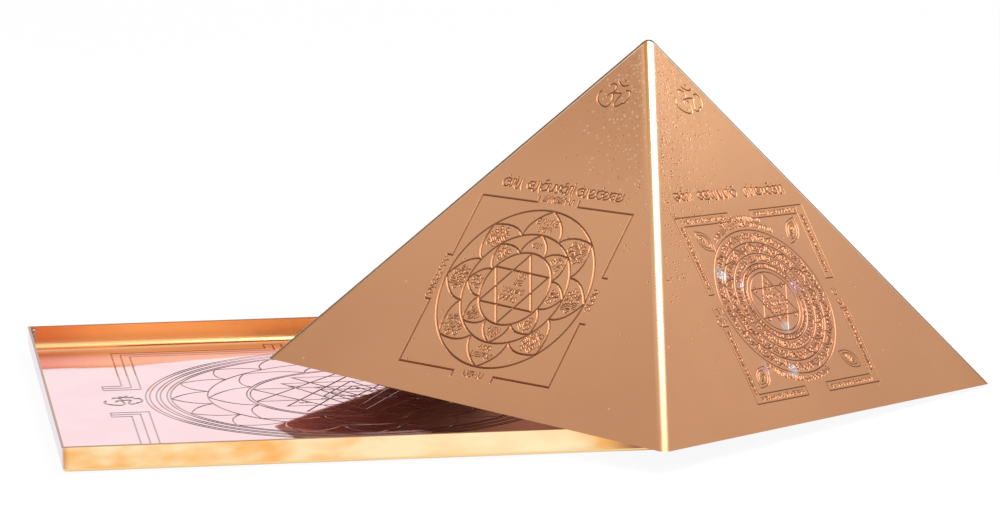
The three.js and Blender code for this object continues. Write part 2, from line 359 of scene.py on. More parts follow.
class Wire:
    """An output socket that can be used in a sum as if it were a number."""

    def __init__(self, sheet, node, output):
        self.sheet = sheet
        self.node = node
        self.socket = node.outputs[output]

    def other(self, output):
        return Wire(self.sheet, self.node, output)

    __add__, __radd__ = math_node("ADD"), math_node("ADD", True)
    __sub__, __rsub__ = math_node("SUBTRACT"), math_node("SUBTRACT", True)
    __mul__, __rmul__ = math_node("MULTIPLY"), math_node("MULTIPLY", True)
    __truediv__, __rtruediv__ = math_node("DIVIDE"), math_node("DIVIDE", True)
    most = math_node("MAXIMUM")

    def bare(self):
        """The same value, without its sign."""
        return self.sheet.node("ShaderNodeMath", {"operation": "ABSOLUTE"}, [self])

    def held(self):
        """The same value, kept between 0 and 1."""
        return self.sheet.node("ShaderNodeMath", {"operation": "ADD", "use_clamp": True}, [self, 0.0])

    def ramp(self, low, high, first=0.0, last=1.0):
        """Goes smoothly from first to last while the value goes from low to high."""
        settings = {"interpolation_type": "SMOOTHSTEP"}
        return self.sheet.node("ShaderNodeMapRange", settings, [self, low, high, first, last])


class NodeSheet:
    """Adds nodes to a tree."""

    def __init__(self, tree):
        self.tree = tree

    def node(self, kind, settings=None, sockets=None, output=0):
        """Adds a node: its settings first, then the values or wires of its sockets."""
        made = self.tree.nodes.new(kind)
        for name, value in (settings or {}).items():
            setattr(made, name, value)
        pairs = sockets.items() if isinstance(sockets, dict) else enumerate(sockets or ())
        for key, value in pairs:
            if isinstance(value, Wire):
                self.tree.links.new(value.socket, made.inputs[key])
            elif value is not None:
                made.inputs[key].default_value = value
        return Wire(self, made, output) if made.outputs else made

    def mix(self, factor, first, second):
        """Mixes two colours, each a wire or the plain numbers of a colour."""
        first, second = (colour if isinstance(colour, Wire) else (*colour[:3], 1.0)
                         for colour in (first, second))
        return self.node("ShaderNodeMix", {"data_type": "RGBA"}, {0: factor, 6: first, 7: second}, 2)

    def layers(self, colour, *tones):
        """Lays tones over a colour, one by one: (share, tone)."""
        for share, tone in tones:
            colour = self.mix(share, colour, tone)
        return colour

    def vector(self, operation, first, second=None, output=0):
        return self.node("ShaderNodeVectorMath", {"operation": operation}, [first, second], output)

    def scaled(self, first, scale):
        return self.node("ShaderNodeVectorMath", {"operation": "SCALE"}, {0: first, 3: scale})

    def noise(self, place, scale, detail=3.0, roughness=0.5):
        sockets = {"Vector": place, "Scale": scale, "Detail": detail, "Roughness": roughness}
        return self.node("ShaderNodeTexNoise", None, sockets)


# Geometry Nodes

def new_tree(name, inputs):
    """An empty Geometry Nodes tree with named inputs: (name, socket kind, default)."""
    tree = bpy.data.node_groups.new(name, "GeometryNodeTree")
    face = tree.interface
    face.new_socket("Geometry", in_out="INPUT", socket_type="NodeSocketGeometry")
    for label, kind, default in inputs:
        socket = face.new_socket(label, in_out="INPUT", socket_type=kind)
        if default is not None:
            socket.default_value = default
    face.new_socket("Geometry", in_out="OUTPUT", socket_type="NodeSocketGeometry")
    sheet = NodeSheet(tree)
    return tree, sheet, sheet.node("NodeGroupInput")


def end_tree(sheet, entry, geometry):
    solid = sheet.node("GeometryNodeRealizeInstances", None, {"Geometry": geometry})
    finished = sheet.node("GeometryNodeSetMaterial", None,
                          {"Geometry": solid, "Material": entry.other("Finish")})
    sheet.node("NodeGroupOutput", None, [finished])


def ring_tree():
    """Repeats a motif in a ring round the origin."""
    inputs = (("Count", "NodeSocketInt", 8), ("Finish", "NodeSocketMaterial", None))
    tree, sheet, entry = new_tree("repeat_in_ring", inputs)
    count = entry.other("Count")
    points = sheet.node("GeometryNodePoints", None, {"Count": count})
    index = sheet.node("GeometryNodeInputIndex")
    angle = index / count * (2 * math.pi)
    turn = sheet.node("ShaderNodeCombineXYZ", None, {"Z": angle})
    ring = sheet.node("GeometryNodeInstanceOnPoints", None,
                      {"Points": points, "Instance": entry, "Rotation": turn})
    end_tree(sheet, entry, ring)
    return tree


def marks_tree():
    """Lays ornament marks, picked by a fixed seed, along the lines that it gets."""
    inputs = (("Marks", "NodeSocketCollection", None), ("Pitch", "NodeSocketFloat", 1.0),
              ("Height", "NodeSocketFloat", 1.0), ("Kinds", "NodeSocketInt", 1),
              ("Seed", "NodeSocketInt", 1), ("Finish", "NodeSocketMaterial", None))
    tree, sheet, entry = new_tree("lay_marks", inputs)
    line = sheet.node("GeometryNodeMeshToCurve", None, [entry])
    spaced = sheet.node("GeometryNodeResampleCurve", {"mode": "LENGTH"},
                        {"Curve": line, "Length": entry.other("Pitch")})
    marks = sheet.node("GeometryNodeCollectionInfo", None,
                       {"Collection": entry.other("Marks"), "Separate Children": True,
                        "Reset Children": True})
    pick = sheet.node("FunctionNodeRandomValue", {"data_type": "INT"},
                      {4: 0, 5: entry.other("Kinds") - 1, 8: entry.other("Seed")}, output=2)
    size = sheet.node("FunctionNodeRandomValue", {"data_type": "FLOAT"},
                      {2: mark_sizes[0], 3: mark_sizes[1], 8: entry.other("Seed") + 7}, output=1)
    tangent = sheet.node("GeometryNodeInputTangent")
    turn = sheet.node("FunctionNodeAlignRotationToVector", {"axis": "X", "pivot_axis": "Z"},
                      {"Vector": tangent})
    laid = sheet.node("GeometryNodeInstanceOnPoints", None,
                      {"Points": spaced, "Instance": marks, "Pick Instance": True,
                       "Instance Index": pick, "Rotation": turn,
                       "Scale": size * entry.other("Height")})
    end_tree(sheet, entry, laid)
    return tree


def bead_tree():
    """Makes a smooth prism into a lumpy run of solder."""
    inputs = (("Lump", "NodeSocketFloat", 0.0002), ("Grain", "NodeSocketFloat", bead_grain),
              ("Seed", "NodeSocketFloat", 1.0), ("Finish", "NodeSocketMaterial", None))
    tree, sheet, entry = new_tree("lumpy_bead", inputs)
    fine = sheet.node("GeometryNodeSubdivideMesh", None, {"Mesh": entry, "Level": bead_divisions})
    place = sheet.node("GeometryNodeInputPosition")
    seeded = sheet.node("ShaderNodeCombineXYZ", None, {"Z": entry.other("Seed")})
    noise = sheet.noise(sheet.vector("ADD", place, seeded), entry.other("Grain"), 2.0)
    height = (noise - bead_level) * entry.other("Lump")
    way = sheet.scaled(sheet.node("GeometryNodeInputNormal"), height)
    lumpy = sheet.node("GeometryNodeSetPosition", None, {"Geometry": fine, "Offset": way})
    smooth = sheet.node("GeometryNodeSetShadeSmooth", None, {0: lumpy, 2: True})
    end_tree(sheet, entry, smooth)
    return tree


def linked_object(name, data):
    made = bpy.data.objects.new(name, data)
    bpy.context.collection.objects.link(made)
    return made


def grown_mesh(name, mesh, tree, values):
    """Runs a tree on a mesh and gives back the plain mesh that comes out."""
    carrier = linked_object(name, mesh)
    modifier = carrier.modifiers.new("grow", "NODES")
    modifier.node_group = tree
    for item in tree.interface.items_tree:
        if item.in_out == "INPUT" and item.name in values:
            modifier[item.identifier] = values[item.name]
    evaluated = carrier.evaluated_get(bpy.context.evaluated_depsgraph_get())
    grown = bpy.data.meshes.new_from_object(evaluated)
    carrier.modifiers.clear()
    bpy.data.objects.remove(carrier)
    return grown


# Lines and patterns

class Stroke:
    """One engraved line: its middle in mm, and the width and depth of its groove."""

    def __init__(self, points, closed, width, depth):
        self.points = np.array(points, float)
        self.closed = closed
        self.half = width / 2
        self.depth = depth

    def moved(self, place, turn=0.0):
        cosine, sine = math.cos(turn), math.sin(turn)
        spin = np.array(((cosine, sine), (-sine, cosine)))
        self.points = self.points @ spin + np.array(place)
        return self


def unit_rows(ways):
    length = np.linalg.norm(ways, axis=1, keepdims=True)
    return ways / np.maximum(length, 1e-9)


def side_line(stroke, offset):
    """The line beside a stroke, with mitred corners."""
    points = stroke.points
    before = np.roll(points, 1, axis=0)
    after = np.roll(points, -1, axis=0)
    way_in = unit_rows(points - before)
    way_out = unit_rows(after - points)
    if not stroke.closed:
        way_in[0] = way_out[0]
        way_out[-1] = way_in[-1]
    along = way_in + way_out
    turned_back = np.linalg.norm(along, axis=1) < turning_back
    along[turned_back] = way_in[turned_back]
    along = unit_rows(along)
    reach = 1.0 / np.maximum((along * way_in).sum(axis=1), sharpest_mitre)
    square = np.stack((-along[:, 1], along[:, 0]), axis=1)
    return points + square * (reach * offset)[:, None]


def stroke_lines(stroke):
    """The middle of a stroke and its two edges, as lines for the triangulation."""
    left = side_line(stroke, stroke.half)
    right = side_line(stroke, -stroke.half)
    if stroke.closed:
        return [(stroke.points, True), (left, True), (right, True)]
    points = stroke.points
    start_way = unit_rows(points[:1] - points[1:2])[0]
    end_way = unit_rows(points[-1:] - points[-2:-1])[0]
    start = points[0] + start_way * stroke.half
    end = points[-1] + end_way * stroke.half
    ring = np.vstack((start, left, end, right[::-1]))
    return [(points, False), (ring, True)]


def groove_depths(places, strokes):
    """Depth of the grooves at each place, by its distance from the nearest line."""
    near = {}
    for stroke in strokes:
        points = stroke.points
        if stroke.closed:
            points = np.vstack((points, points[:1]))
        starts, ends = points[:-1], points[1:]
        lows = np.floor((np.minimum(starts, ends) - stroke.half) / search_cell).astype(int)
        highs = np.floor((np.maximum(starts, ends) + stroke.half) / search_cell).astype(int)
        parts = zip(starts.tolist(), (ends - starts).tolist(), lows.tolist(), highs.tolist())
        for start, way, low, high in parts:
            segment = (*start, *way, stroke.half, stroke.depth)
            for column in range(low[0], high[0] + 1):
                for row in range(low[1], high[1] + 1):
                    near.setdefault((column, row), []).append(segment)
    depths = []
    for x, y in places:
        deepest = 0.0
        cell = (math.floor(x / search_cell), math.floor(y / search_cell))
        for ax, ay, dx, dy, half, depth in near.get(cell, ()):
            length = dx * dx + dy * dy
            part = ((x - ax) * dx + (y - ay) * dy) / length if length else 0.0
            part = max(0.0, min(1.0, part))
            distance = math.hypot(x - ax - part * dx, y - ay - part * dy)
            if distance < half:
                deepest = max(deepest, depth * (1 - distance / half))
        depths.append(deepest)
    return depths


def polar(radius, angle):
    return (radius * math.cos(angle), radius * math.sin(angle))


def circle_points(radius, spacing=None):
    spacing = spacing or min(circle_spacing, circle_fineness * math.sqrt(radius))
    steps = max(circle_points_least, math.ceil(2 * math.pi * radius / spacing))
    return [polar(radius, 2 * math.pi * i / steps) for i in range(steps)]


def bend_points(start, control, end, steps):
    """A curved line from start to end, drawn towards control."""
    points = []
    for i in range(steps + 1):
        t = i / steps
        parts = ((1 - t) ** 2, 2 * t * (1 - t), t ** 2)
        points.append(tuple(sum(part * point[axis] for part, point in zip(parts, (start, control, end)))
                            for axis in (0, 1)))
    return points


def petal_points(foot, tip, count, steps=6):
    """One pointed petal, standing straight up, from notch to notch."""
    half = math.pi / count
    shoulder = foot + petal_shoulder * (tip - foot)
    left = bend_points(polar(foot, UP + half), polar(shoulder, UP + half * petal_spread),
                       polar(tip, UP), steps)
    right = [(-x, y) for x, y in reversed(left[:-1])]
    return left + right


def star_points(radius):
    return [[polar(radius, start + i * 2 * math.pi / 3) for i in range(3)] for start in (UP, -UP)]


def smooth_points(points, steps=4):
    """A smooth line through the points."""
    ends = [points[0], *points, points[-1]]
    result = []
    for i in range(len(points) - 1):
        p0, p1, p2, p3 = (np.array(p) for p in ends[i:i + 4])
        for j in range(steps):
            t = j / steps
            result.append(0.5 * (2 * p1 + (p2 - p0) * t + (2 * p0 - 5 * p1 + 4 * p2 - p3) * t ** 2
                                 + (3 * p1 - p0 - 3 * p2 + p3) * t ** 3))
    return [*(tuple(point) for point in result), tuple(points[-1])]


def lines_mesh(name, lines, closed=False):
    """A mesh of edges alone."""
    points, edges = [], []
    for line in lines:
        first = len(points)
        points.extend((x, y, 0.0) for x, y in line)
        edges.extend((first + i, first + i + 1) for i in range(len(line) - 1))
        if closed:
            edges.append((len(points) - 1, first))
    mesh = bpy.data.meshes.new(name)
    mesh.from_pydata(points, edges, [])
    return mesh


def mesh_lines(mesh):
    """The lines of a mesh of edges: (points, closed)."""
    joined = {}
    for edge in mesh.edges:
        first, second = edge.vertices
        joined.setdefault(first, []).append(second)
        joined.setdefault(second, []).append(first)
    place = [(vertex.co.x, vertex.co.y) for vertex in mesh.vertices]
    left = {tuple(sorted(edge.vertices)) for edge in mesh.edges}
    starts = [i for i, others in joined.items() if len(others) != 2] + list(joined)
    lines = []
    for start in starts:
        for step in joined[start]:
            if tuple(sorted((start, step))) not in left:
                continue
            walk = [start]
            current = step
            while tuple(sorted((walk[-1], current))) in left:
                left.discard(tuple(sorted((walk[-1], current))))
                walk.append(current)
                ahead = [i for i in joined[current] if tuple(sorted((current, i))) in left]
                if not ahead or len(joined[current]) != 2:
                    break
                current = ahead[0]
            closed = walk[0] == walk[-1] and len(walk) > 3
            lines.append(([place[i] for i in (walk[:-1] if closed else walk)], closed))
    return lines


class Engraver:
    """Gathers the strokes of one pattern."""

    def __init__(self, line, mark, title, finish, seed):
        self.line = line
        self.mark = mark
        self.title = title
        self.finish = finish
        self.seed = seed
        self.strokes = []
        self.ring = ring_tree()
        self.marks = marks_tree()
        self.small_shapes = self.shape_collection("mark_shapes", mark_shapes)
        self.large_shapes = self.shape_collection("title_shapes", title_shapes, 3)

    def shape_collection(self, name, drawings, steps=0):
        """Hidden objects of the shapes, smoothed in steps, for the tree that lays them."""
        shapes = bpy.data.collections.new(name)
        for shape, drawn in drawings.items():
            lines = [[(x / shape_parts, y / shape_parts) for x, y in line] for line in drawn]
            if steps:
                lines = [smooth_points(line, steps) for line in lines]
            shapes.objects.link(bpy.data.objects.new(shape, lines_mesh(shape, lines)))
        return shapes

    def clear(self):
        for shapes in (self.small_shapes, self.large_shapes):
            for shape in list(shapes.objects):
                bpy.data.objects.remove(shape)
            bpy.data.collections.remove(shapes)

    def cut(self, points, closed=False, size=None):
        width, depth = size or self.line
        stroke = Stroke(points, closed, width, depth)
        self.strokes.append(stroke)
        return stroke

    def circle(self, radius, middle, size=None):
        self.cut(circle_points(radius), True, size).moved(middle)

    def petals(self, foot, tip, count, middle, steps=6, size=None):
        """A ring of petals."""
        motif = lines_mesh("petal", [petal_points(foot, tip, count, steps)])
        ring = grown_mesh("ring", motif, self.ring, {"Count": count, "Finish": self.finish})
        for points, closed in mesh_lines(ring):
            self.cut(points, closed, size).moved(middle)

    def lay(self, lines, spacing, closed=False, size=None, large=False):
        """Ornament marks along lines. spacing is their pitch and height."""
        self.seed += 1
        pitch, height = spacing
        shapes = self.large_shapes if large else self.small_shapes
        values = {"Marks": shapes, "Pitch": pitch, "Height": height,
                  "Kinds": len(shapes.objects), "Seed": self.seed, "Finish": self.finish}
        laid = grown_mesh("marks", lines_mesh("rows", lines, closed), self.marks, values)
        for points, loop in mesh_lines(laid):
            self.cut(points, loop, size or self.mark)

    def rows(self, rows, spacing, size=None, large=False):
        """Rows of marks: (middle, width, turn)."""
        lines = []
        for (x, y), width, turn in rows:
            spots = max(1, round(width / spacing[0]))
            half = max(spots - 1, shortest_row) * spacing[0] / 2 * row_slack
            way = (math.cos(turn) * half, math.sin(turn) * half)
            lines.append([(x - way[0], y - way[1]), (x + way[0], y + way[1])])
        self.lay(lines, spacing, False, size, large)

    def pit(self, place, width):
        x, y = place
        self.cut([(x, y), (x + pit_length, y)], False, (width, width * pit_steepness))

    def om(self, middle, turn=0.0, stretch=1.0, size=None):
        for stroke in om_strokes:
            points = [(x, y * stretch) for x, y in smooth_points(stroke)]
            self.cut(points, False, size or self.title).moved(middle, turn)


# Patterns of the faces and the tray

def frame_corners(corners, gate, reach):
    """For each corner of a frame, its line from gate to gate, with a tick outwards at each end."""
    corners = [np.array(corner) for corner in corners]
    result = []
    for i, corner in enumerate(corners):
        before, after = corners[i - 1], corners[(i + 1) % 4]
        way_in = unit_rows((corner - before)[None])[0]
        way_out = unit_rows((after - corner)[None])[0]
        out_in = np.array((-way_in[1], way_in[0]))
        out_out = np.array((-way_out[1], way_out[0]))
        first = before + (corner - before) * (0.5 + gate / 2)
        last = corner + (after - corner) * (0.5 - gate / 2)
        result.append((first + out_in * reach, first, corner, last, last + out_out * reach))
    return result


def middle_of(*points):
    return tuple(np.mean([np.array(point) for point in points], axis=0))


def row_between(first, last, trim=0.0):
    """A row from first to last, shorter by trim."""
    first, last = np.array(first), np.array(last)
    way = last - first
    length = float(np.hypot(*way)) - trim
    return (middle_of(first, last), length, math.atan2(way[1], way[0]))


def shifted(middle, places):
    return [(middle[0] + x, middle[1] + y) for x, y in places]


def lotus_pattern(tool):
    tip, foot, core = lotus_circles
    for radius in lotus_circles:
        tool.circle(radius, lotus_middle)
    tool.petals(foot, tip, lotus_petals, lotus_middle)
    tool.petals(core, foot, lotus_petals, lotus_middle, steps=5)
    for points in star_points(lotus_star):
        tool.cut(points, True).moved(lotus_star_middle)
    corners = frame_corners(lotus_frame, lotus_gate, lotus_tick)
    for line in corners:
        tool.cut(line)
    rows = []
    for petal in range(lotus_petals):
        angle = petal * 2 * math.pi / lotus_petals
        for radius, width in (*lotus_outer_rows.get(petal, lotus_outer_other),
                              *lotus_inner_rows.get(petal, lotus_inner_other)):
            spot = shifted(lotus_middle, [polar(radius, UP + angle)])[0]
            rows.append((spot, width, angle))
    x, y = lotus_star_middle
    rows += [((x + across, y + up), width, 0.0) for across, up, width in lotus_star_rows]
    tool.rows(rows, lotus_mark)
    gates = []
    for i, (width, lift) in enumerate(lotus_gate_rows):
        here, there = corners[i], corners[(i + 1) % 4]
        spot, _, turn = row_between(here[3], there[1])
        gates.append((tuple(spot + np.array((-math.sin(turn), math.cos(turn))) * lift), width, turn))
    tool.rows(gates, gate_mark)
    title(tool, lotus_title, lotus_title_words)
    tool.om(lotus_om)
    pits(tool, lotus_pits, 1)


def title(tool, ends, words):
    """Row of large ornament marks over a frame, in groups."""
    first, last = (np.array(end) for end in ends)
    rows = [row_between(first + (last - first) * start, first + (last - first) * stop, title_trim)
            for start, stop in words]
    tool.rows(rows, title_mark, tool.title, large=True)


def pits(tool, bands, side):
    """Small pits that crowd beside the ridge on one side of a face, and a few strays."""
    chance = random.Random(tool.seed)
    places = []
    for count, low, high, reach in bands:
        for _ in range(count):
            up = chance.uniform(low, high)
            away = face_bend + (reach - face_bend) * chance.random() ** pit_crowding
            places.append((side * (face_half_width(up) - away), up))
    for _ in range(stray_pits):
        up = chance.uniform(*stray_reach)
        places.append((chance.uniform(-1.0, 1.0) * (face_half_width(up) - stray_margin), up))
    for place in places:
        tool.pit(place, chance.uniform(*pit_width))


def face_half_width(up):
    """Half the width of a face at a place up it, within its bent edges."""
    return face_half_foot * (1 - up / face_rise) - face_bend


def leaf(tool, start, end):
    """A leaf in a frame's corner, with a second line inside it and marks on its rib."""
    spot, length, turn = row_between(start, end)
    for scale in (1.0, wheel_leaf_inner):
        half = length / 2 * scale
        upper = bend_points((-half, 0.0), (0.0, wheel_leaf_width * scale), (half, 0.0), 6)
        lower = [(-x, -y) for x, y in upper]
        tool.cut(upper[:-1] + lower[:-1], True, tool.mark).moved(spot, turn)
    tool.rows([(spot, length * leaf_row, turn)], leaf_mark)


def wheel_pattern(tool):
    middle = wheel_middle
    fine = (tool.line[0] * wheel_line, tool.line[1] * wheel_line)
    outer, scallop = wheel_circles[:2]
    for radius in wheel_circles:
        tool.circle(radius, middle, fine)
    tool.petals(scallop, outer - wheel_scallop_gap, wheel_scallops, middle, 4, tool.mark)
    tool.petals(wheel_petal_foot, scallop, wheel_petals, middle, 4, fine)
    tool.circle(wheel_petal_foot, middle, tool.mark)
    for points in star_points(wheel_star):
        tool.cut(points, True, fine).moved(middle)
    for radius, pitch, height in wheel_rings:
        line = shifted(middle, reversed(circle_points(radius, wheel_ring_spacing)))
        tool.lay([line], (pitch, height), closed=True)
    for radius, start, stop in wheel_arcs:
        angles = np.radians(np.linspace(start, stop, wheel_arc_steps))
        tool.lay([shifted(middle, [polar(radius, angle) for angle in angles])], arc_mark)
    rows = [((middle[0] + x, middle[1] + y), width, 0.0) for x, y, width in wheel_star_rows]
    tool.rows(rows, wheel_star_mark)
    band_rows = []
    for far, near in zip(frame_corners(wheel_frame_outer, wheel_gate, 0.0),
                         frame_corners(wheel_frame_inner, wheel_gate, 0.0)):
        near_first, near_last = (end + (near[2] - far[2]) * closer(end, far[2], near[2])
                                 for end in (far[1], far[3]))
        tool.cut([far[1], far[2], far[3], near_last, near[2], near_first], True, fine)
        corner = middle_of(far[2], near[2])
        band_rows.append(row_between(middle_of(far[1], near_first), corner, wheel_band_trim))
        band_rows.append(row_between(corner, middle_of(far[3], near_last), wheel_band_trim))
    tool.rows(band_rows, wheel_band_mark)
    for start, end in wheel_leaves:
        leaf(tool, start, end)
    tool.rows([((x, y), width, 0.0) for x, y, width in wheel_side_rows], wheel_side_mark)
    title(tool, wheel_title, wheel_title_words)
    tool.om(wheel_om, wheel_om_turn)
    pits(tool, wheel_pits, -1)


def closer(gate, corner, inner_corner):
    """Picks the part of the corner's step that is square to its side, as two factors."""
    way = unit_rows((np.array(corner) - gate)[None])[0]
    step = np.array(inner_corner) - corner
    along = float(step @ way)
    square = step - way * along
    return square / np.where(np.abs(step) < 1e-9, 1.0, step)


def tray_pattern(tool):
    for radius in tray_circles:
        tool.circle(radius, tray_middle, tray_line)
    outer, middle, inner, ground = tray_circles[5:]
    for count, foot, tip, gap in zip(tray_petals, (middle, inner), (outer, middle), tray_petal_gaps):
        tool.petals(foot, tip - gap, count, tray_middle, size=tray_line)
    part = 2 * ground / tray_parts
    for base, trim, point in tray_triangles:
        base_y, point_y = ground - base * part, ground - point * part
        reach = math.sqrt(max(ground ** 2 - base_y ** 2, 0.0)) - trim * part
        points = [(-reach, base_y), (reach, base_y), (0.0, point_y)]
        tool.cut(points, True, tray_line).moved(tray_middle)
    half, inside, gate = tray_frame, tray_frame - tray_band, tray_gate
    step, end = gate + tray_band, tray_frame + tray_gate_step
    band = [(end, gate), (end, step), (half, step), (half, half), (step, half), (step, end),
            (gate, end), (gate, inside), (inside, inside), (inside, gate)]
    centre, way = half - tray_band / 2, gate + tray_band / 2
    spine = [(end, way), (centre, way), (centre, centre), (way, centre), (way, end)]
    for quarter in range(4):
        tool.cut(band, True, tray_line).moved(tray_frame_middle, quarter * UP)
        tool.cut(spine, False, tray_line).moved(tray_frame_middle, quarter * UP)
    for place in tray_oms:
        tool.om(place, 0.0, tray_om_stretch, tray_om_line)
    rows = [(place, tray_row, 0.0) for place in shifted(tray_middle, tray_rows)]
    tool.rows(rows, tray_mark, tray_mark_line)


# Sheets

class FlatFrame:
    """A flat face's own axes: u across it, v up it, n out of it. Lengths in mm."""

    def __init__(self, origin, across, up, out):
        self.origin = origin
        self.across = across
        self.up = up
        self.out = out

    def flat(self, place):
        away = place / MM - self.origin
        return (away.dot(self.across), away.dot(self.up))

    def place(self, u, v, depth):
        return (self.origin + self.across * u + self.up * v - self.out * depth) * MM


def merged_copy(node):
    """A copy of a CAD node's mesh, with its vertices joined and room for the finishes' masks."""
    sheet = bmesh.new()
    sheet.from_mesh(frame["nodes"][node].data)
    for layer in ("groove", "bend", "inside", "bend_shade"):
        sheet.verts.layers.float.new(layer)
    bmesh.ops.remove_doubles(sheet, verts=sheet.verts, dist=merge_distance * MM)
    return sheet


def plane_groups(sheet):
    """The sheet's faces by plane: [normal, height in mm, area in mm2, faces]."""
    groups = []
    for face in sorted(sheet.faces, key=lambda f: -f.calc_area()):
        middle = face.calc_center_median() / MM
        for group in groups:
            normal, height = group[:2]
            beside = abs(normal.dot(middle) - height)
            if normal.dot(face.normal) > same_way and beside < plane_tolerance:
                group[2] += face.calc_area() / MM ** 2
                group[3].append(face)
                break
        else:
            normal = face.normal.copy()
            groups.append([normal, normal.dot(middle), face.calc_area() / MM ** 2, [face]])
    return groups


def inside_loops(places, edges):
    """Even and odd crossings of the rim's edges tell which places lie in the region."""
    places = np.array(places)
    inside = np.zeros(len(places), bool)
    for (ax, ay), (bx, by) in edges:
        if ay == by:
            continue
        across = (places[:, 1] < ay) != (places[:, 1] < by)
        reach = ax + (places[:, 1] - ay) * (bx - ax) / (by - ay)
        inside ^= across & (places[:, 0] < reach)
    return inside


def engrave(sheet, faces, axes, strokes):
    """Makes a flat region of a sheet again, with grooves along the strokes."""
    region = set(faces)
    rim_edges = [edge for face in faces for edge in face.edges
                 if sum(other in region for other in edge.link_faces) == 1]
    rim = list(dict.fromkeys(vertex for edge in rim_edges for vertex in edge.verts))
    number = {vertex: i for i, vertex in enumerate(rim)}
    points = [axes.flat(vertex.co) for vertex in rim]
    edges = [(number[edge.verts[0]], number[edge.verts[1]]) for edge in rim_edges]
    rim_lines = [(points[a], points[b]) for a, b in edges]
    for stroke in strokes:
        for line, closed in stroke_lines(stroke):
            first = len(points)
            points.extend((float(x), float(y)) for x, y in line)
            edges.extend((first + i, first + i + 1) for i in range(len(line) - 1))
            if closed:
                edges.append((len(points) - 1, first))
    result = delaunay_2d_cdt([Vector(point) for point in points], edges, [], 0, 1e-5)
    places, triangles, sources = result[0], result[2], result[3]
    depths = groove_depths([(place.x, place.y) for place in places], strokes)
    middles = [tuple(sum(places[i][axis] for i in triangle) / 3 for axis in (0, 1))
               for triangle in triangles]
    kept = inside_loops(middles, rim_lines)
    loose = {vertex for face in faces for vertex in face.verts} - set(rim)
    bmesh.ops.delete(sheet, geom=faces, context="FACES_ONLY")
    for vertex in loose:
        sheet.verts.remove(vertex)
    depth_layer = sheet.verts.layers.float["groove"]
    made = []
    for place, depth, source in zip(places, depths, sources):
        on_rim = [i for i in source if i < len(rim)]
        if on_rim:
            made.append(rim[on_rim[0]])
            continue
        vertex = sheet.verts.new(axes.place(place.x, place.y, depth))
        vertex[depth_layer] = depth
        made.append(vertex)
    added = []
    for triangle, keep in zip(triangles, kept):
        corners = [made[i] for i in triangle]
        if not keep or len(set(corners)) < 3:
            continue
        a, b, c = (places[i] for i in triangle)
        if (b - a).cross(c - a) < 0:
            corners.reverse()
        added.append(sheet.faces.new(corners))
    spare = [vertex for vertex in made if vertex.is_valid and not vertex.link_faces]
    bmesh.ops.delete(sheet, geom=list(set(spare)), context="VERTS")
    return added


def shade_sheet(sheet, flat_faces):
    """Bends are smooth, flat faces and cut edges are not."""
    bend_layer = sheet.verts.layers.float["bend"]
    for vertex in sheet.verts:
        vertex[bend_layer] = 0.0 if flat_faces.intersection(vertex.link_faces) else 1.0
    for face in sheet.faces:
        face.smooth = face not in flat_faces
    for edge in sheet.edges:
        edge.smooth = len(edge.link_faces) == 2 and edge.calc_face_angle(4.0) < smooth_angle


def mark_bend_shade(sheet, lotus_out, wheel_out):
    """Marks the edge of the front bend where it turns into the lotus face, for a painted shade there."""
    bend_layer = sheet.verts.layers.float["bend"]
    layer = sheet.verts.layers.float["bend_shade"]
    front = (lotus_out + wheel_out).normalized()
    edge = lotus_out.dot(front)
    for vertex in sheet.verts:
        turned = vertex.normal.dot(lotus_out)
        if vertex[bend_layer] and vertex.normal.dot(front) > edge - 0.02:
            vertex[layer] = max(0.0, min(1.0, (turned - bend_shade_start) / bend_shade_reach))


def mark_inside(sheet, apex):
    """Marks the places that lie on the inner side of the cover."""
    count = len(sheet.verts)
    middle = Vector([sum(vertex.co[axis] for vertex in sheet.verts) for axis in (0, 1, 2)]) / count
    up = apex - middle
    layer = sheet.verts.layers.float["inside"]
    for vertex in sheet.verts:
        away = vertex.co - apex
        away -= up * (away.dot(up) / up.length_squared)
        outward = [face.normal.dot(away) for face in vertex.link_faces
                   if abs(face.normal.dot(up)) < 0.95 * up.length]
        vertex[layer] = 1.0 if outward and max(outward) < 0 else 0.0


def plain_mesh(name, sheet):
    mesh = bpy.data.meshes.new(name)
    sheet.to_mesh(mesh)
    sheet.free()
    return mesh


def placed_piece(name, mesh, material, body, node):
    """Puts a finished mesh on its body, in place of the CAD node."""
    mesh.materials.clear()
    mesh.materials.append(material)
    mesh.name = name
    piece = linked_object(name, mesh)
    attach(piece, body)
    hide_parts(node)


# Finishes

def millimetres(sheet):
    """The place on the piece, in mm."""
    return sheet.scaled(sheet.node("ShaderNodeTexCoord", None, None, "Object"), 1 / MM)


def new_material(name):
    material = bpy.data.materials.new(name)
    material.use_nodes = True
    material.node_tree.nodes.clear()
    return material, NodeSheet(material.node_tree)


def metal(sheet, colour, roughness, height, bright=1.0):
    """The metal's shader. height is that of its waves and grains, in mm."""
    relief = sheet.node("ShaderNodeBump", None, {"Strength": 1.0, "Distance": MM, "Height": height})
    surface = sheet.node("ShaderNodeBsdfPrincipled", None,
                         {"Base Color": colour, "Metallic": bright, "Roughness": roughness,
                          "Normal": relief})
    sheet.node("ShaderNodeOutputMaterial", None, {"Surface": surface})


def specks(sheet, place, scale, size, share):
    """Small round specks: 1 in a speck. share is how many of the cells hold one."""
    cells = sheet.node("ShaderNodeTexVoronoi", {"feature": "F1"}, {"Vector": place, "Scale": scale},
                       "Distance")
    pick = sheet.node("ShaderNodeSeparateColor", None, [cells.other("Color")])
    chosen = (share - pick) * speck_contrast
    return (1 - cells.ramp(size * speck_core, size)) * chosen.held()


def attribute(sheet, name):
    return sheet.node("ShaderNodeAttribute", {"attribute_name": name}, None, "Fac")


